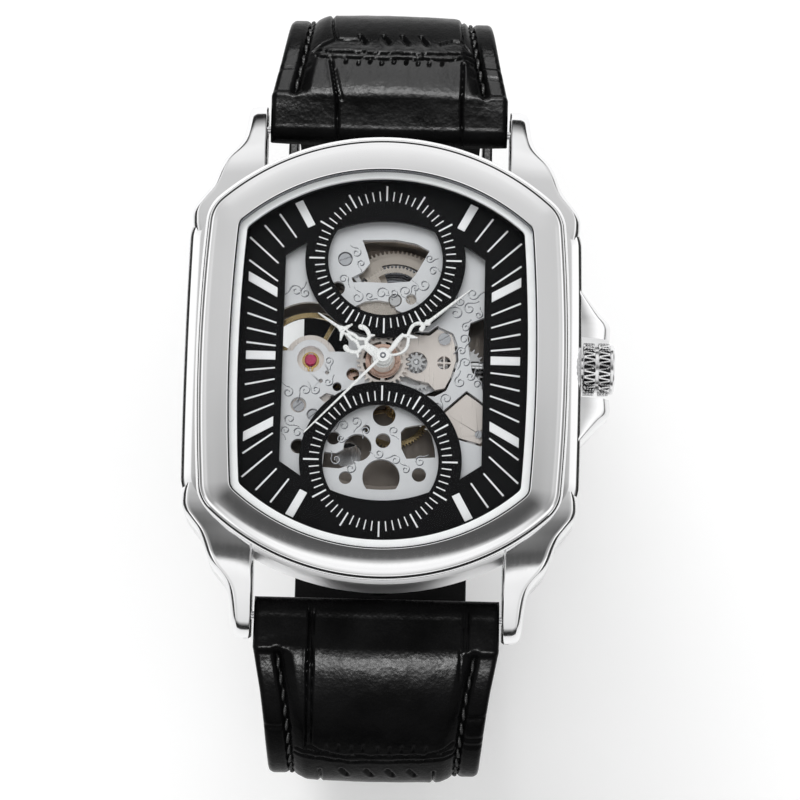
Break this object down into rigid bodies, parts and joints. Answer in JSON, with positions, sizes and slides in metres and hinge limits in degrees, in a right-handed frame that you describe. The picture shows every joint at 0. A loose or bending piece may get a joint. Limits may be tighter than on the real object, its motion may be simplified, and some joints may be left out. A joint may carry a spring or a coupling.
{
  "type": "automatic wristwatch",
  "caption": "Automatic wristwatch with tonneau steel case, open-worked black dial, rotor-wound movement, crown and padded leather strap with pin buckle.",
  "frame": {"origin": "centre of the case back's outer face, on the axis of the hands", "axes": "+Z from the case back to the front crystal, +Y towards 12 o'clock, +X towards the crown at 3 o'clock"},
  "size_m": [0.0418, 0.0794, 0.0726],
  "materials": {
    "case_steel": "satin with polished edges",
    "polished_steel": "mirror polished",
    "clear_crystal": "clear, polished",
    "black_rubber": "matte",
    "light_ring": "light grey, fine satin",
    "black_dial": "black lacquer, fine satin",
    "white_print": "white lacquer on applied metal",
    "silver_plate": "rhodium-look, engraved",
    "beige_bridge": "warm grey-beige, satin",
    "blued_screw": "polished",
    "ruby": "polished synthetic ruby",
    "spring_steel": "bright",
    "movement_steel": "polished",
    "ratchet_beige": "sunray",
    "rose_gold": "rose gilt",
    "gilt": "gilt",
    "hand_steel": "white-silver, satin",
    "rotor_plate": "nickelled, striped",
    "tungsten": "fine turned",
    "violet_alu": "anodised",
    "black_leather": "semi-gloss, embossed"
  },
  "bodies": {
    "case": {"mid_case": "case_steel", "bezel": "polished_steel", "front_crystal": "clear_crystal", "crystal_gasket": "black_rubber", "rehaut_ring": "light_ring", "case_back": "case_steel", "back_crystal": "clear_crystal", "back_gasket": "black_rubber", "case_back_screws": "polished_steel", "crown_tube": "polished_steel", "spring_bars": "case_steel", "dial_frame": "black_dial", "hour_markers": "white_print", "movement_ring": "silver_plate", "main_plate": "silver_plate", "skeleton_plate": "silver_plate", "balance_cock": "beige_bridge", "minute_train_bridge": "beige_bridge", "keyless_cover": "beige_bridge", "automatic_bridge": "silver_plate", "pallet_bridge": "silver_plate", "movement_screws": "blued_screw", "jewels": "ruby", "rotor_bearing": "movement_steel"},
    "seconds": {"fourth_wheel": "gilt", "seconds_hand": "hand_steel"},
    "minutes": {"centre_wheel": "rose_gold", "cannon_pinion": "movement_steel", "minute_hand": "hand_steel"},
    "hours": {"hour_wheel": "rose_gold", "hour_hand": "hand_steel"},
    "minute_wheel": {"minute_wheel": "gilt"},
    "third_wheel": {"third_wheel": "gilt"},
    "escape_wheel": {"escape_wheel": "gilt"},
    "pallet_fork": {"pallet_fork": "movement_steel"},
    "balance": {"balance_wheel": "gilt", "hairspring": "spring_steel"},
    "barrel": {"barrel": "beige_bridge", "mainspring": "spring_steel"},
    "barrel_arbor": {"barrel_arbor": "movement_steel", "ratchet_wheel": "ratchet_beige"},
    "click": {"click": "blued_screw"},
    "crown_wheel": {"crown_wheel": "movement_steel"},
    "intermediate_wheel": {"intermediate_wheel": "movement_steel"},
    "winding_pinion": {"winding_pinion": "movement_steel"},
    "crown_slide": {"crown_gasket": "black_rubber"},
    "crown": {"crown": "polished_steel", "stem": "movement_steel"},
    "sliding_pinion": {"sliding_pinion": "movement_steel"},
    "setting_lever": {"setting_lever": "movement_steel"},
    "rotor": {"rotor": "rotor_plate", "rotor_weight": "tungsten"},
    "reversing_wheel": {"reversing_wheel": "violet_alu"},
    "strap_upper": {"strap_upper": "black_leather", "fixed_keeper": "black_leather"},
    "sliding_keeper": {"sliding_keeper": "black_leather"},
    "buckle_frame": {"buckle_frame": "case_steel", "buckle_bar": "case_steel"},
    "buckle_tongue": {"buckle_tongue": "case_steel"},
    "strap_lower": {"strap_lower": "black_leather"}
  },
  "joints": [
    {"name": "seconds_turn", "type": "hinge", "parent": "case", "child": "seconds", "pos_m": [0, 0, 0.0099], "axis": [0, 0, -1], "continuous": true},
    {"name": "minutes_turn", "type": "hinge", "parent": "case", "child": "minutes", "pos_m": [0, 0, 0.0094], "axis": [0, 0, -1], "continuous": true},
    {"name": "hours_turn", "type": "hinge", "parent": "case", "child": "hours", "pos_m": [0, 0, 0.0089], "axis": [0, 0, -1], "continuous": true},
    {"name": "minute_wheel_turn", "type": "hinge", "parent": "case", "child": "minute_wheel", "pos_m": [0.00325, 0, 0.0065], "axis": [0, 0, -1], "continuous": true},
    {"name": "third_wheel_turn", "type": "hinge", "parent": "case", "child": "third_wheel", "pos_m": [0.0011, -0.00411, 0.0043], "axis": [0, 0, -1], "continuous": true},
    {"name": "escape_wheel_turn", "type": "hinge", "parent": "case", "child": "escape_wheel", "pos_m": [-0.00331, -0.00151, 0.0045], "axis": [0, 0, -1], "continuous": true},
    {"name": "barrel_turn", "type": "hinge", "parent": "case", "child": "barrel", "pos_m": [0.00104, 0.00621, 0.0047], "axis": [0, 0, -1], "continuous": true},
    {"name": "pallet_rock", "type": "hinge", "parent": "case", "child": "pallet_fork", "pos_m": [-0.0052, -0.0007, 0.0045], "axis": [0, 0, 1], "range_deg": [-3, 3]},
    {"name": "balance_swing", "type": "hinge", "parent": "case", "child": "balance", "pos_m": [-0.00705, 0.0001, 0.0053], "axis": [0, 0, 1], "range_deg": [-270, 270], "stiffness_Nm_per_rad": 0.000001},
    {"name": "crown_pull", "type": "slide", "parent": "case", "child": "crown_slide", "axis": [1, 0, 0], "range_m": [0, 0.001]},
    {"name": "crown_turn", "type": "hinge", "parent": "crown_slide", "child": "crown", "pos_m": [0.02, 0, 0.0062], "axis": [1, 0, 0], "continuous": true},
    {"name": "sliding_pinion_shift", "type": "slide", "parent": "crown", "child": "sliding_pinion", "axis": [1, 0, 0], "range_m": [-0.0017, 0]},
    {"name": "setting_lever_swing", "type": "hinge", "parent": "case", "child": "setting_lever", "pos_m": [0.0111, -0.0026, 0.007], "axis": [0, 0, -1], "range_deg": [0, 23]},
    {"name": "winding_pinion_turn", "type": "hinge", "parent": "case", "child": "winding_pinion", "pos_m": [0.00995, 0, 0.0062], "axis": [1, 0, 0], "continuous": true},
    {"name": "crown_wheel_turn", "type": "hinge", "parent": "case", "child": "crown_wheel", "pos_m": [0.0077, 0, 0.0048], "axis": [0, 0, 1], "continuous": true},
    {"name": "intermediate_wheel_turn", "type": "hinge", "parent": "case", "child": "intermediate_wheel", "pos_m": [0.0067, 0.00346, 0.00295], "axis": [0, 0, 1], "continuous": true},
    {"name": "arbor_turn", "type": "hinge", "parent": "case", "child": "barrel_arbor", "pos_m": [0.00104, 0.00621, 0.0065], "axis": [0, 0, 1], "continuous": true},
    {"name": "click_lift", "type": "hinge", "parent": "case", "child": "click", "pos_m": [-0.00395, 0.0103, 0.0065], "axis": [0, 0, -1], "range_deg": [0, 8], "stiffness_Nm_per_rad": 0.00002, "springref_deg": -5.73},
    {"name": "rotor_swing", "type": "hinge", "parent": "case", "child": "rotor", "pos_m": [0, 0, 0.0022], "axis": [0, 0, 1], "continuous": true},
    {"name": "reversing_wheel_turn", "type": "hinge", "parent": "case", "child": "reversing_wheel", "pos_m": [-0.00338, -0.00123, 0.0029], "axis": [0, 0, 1], "continuous": true},
    {"name": "upper_strap_hinge", "type": "hinge", "parent": "case", "child": "strap_upper", "pos_m": [0, 0.0246, 0.0034], "axis": [1, 0, 0], "range_deg": [-2, 70]},
    {"name": "keeper_slide", "type": "slide", "parent": "strap_upper", "child": "sliding_keeper", "axis": [0, 0.1219, 0.9925], "range_m": [-0.004, 0.008]},
    {"name": "buckle_hinge", "type": "hinge", "parent": "strap_upper", "child": "buckle_frame", "pos_m": [0, 0.0152, -0.05944], "axis": [1, 0, 0], "range_deg": [-90, 30]},
    {"name": "tongue_hinge", "type": "hinge", "parent": "buckle_frame", "child": "buckle_tongue", "pos_m": [0, 0.0152, -0.05944], "axis": [1, 0, 0], "range_deg": [0, 100]},
    {"name": "lower_strap_hinge", "type": "hinge", "parent": "case", "child": "strap_lower", "pos_m": [0, -0.0246, 0.0034], "axis": [-1, 0, 0], "range_deg": [-2, 70]}
  ],
  "couplings": [
    {"joint": "minutes_turn", "follows": "seconds_turn", "ratio": 0.016667},
    {"joint": "hours_turn", "follows": "seconds_turn", "ratio": 0.0013889},
    {"joint": "minute_wheel_turn", "follows": "seconds_turn", "ratio": -0.0041667},
    {"joint": "third_wheel_turn", "follows": "seconds_turn", "ratio": -0.13333},
    {"joint": "escape_wheel_turn", "follows": "seconds_turn", "ratio": -12},
    {"joint": "barrel_turn", "follows": "seconds_turn", "ratio": -0.0020833},
    {"joint": "winding_pinion_turn", "follows": "crown_turn", "ratio": 1},
    {"joint": "crown_wheel_turn", "follows": "crown_turn", "ratio": 0.5},
    {"joint": "intermediate_wheel_turn", "follows": "crown_turn", "ratio": -0.5},
    {"joint": "arbor_turn", "follows": "crown_turn", "ratio": 0.2},
    {"joint": "sliding_pinion_shift", "follows": "crown_pull", "ratio": -1.6},
    {"joint": "setting_lever_swing", "follows": "crown_pull", "rad_per_m": 394.8},
    {"joint": "reversing_wheel_turn", "follows": "rotor_swing", "ratio": -0.5}
  ]
}
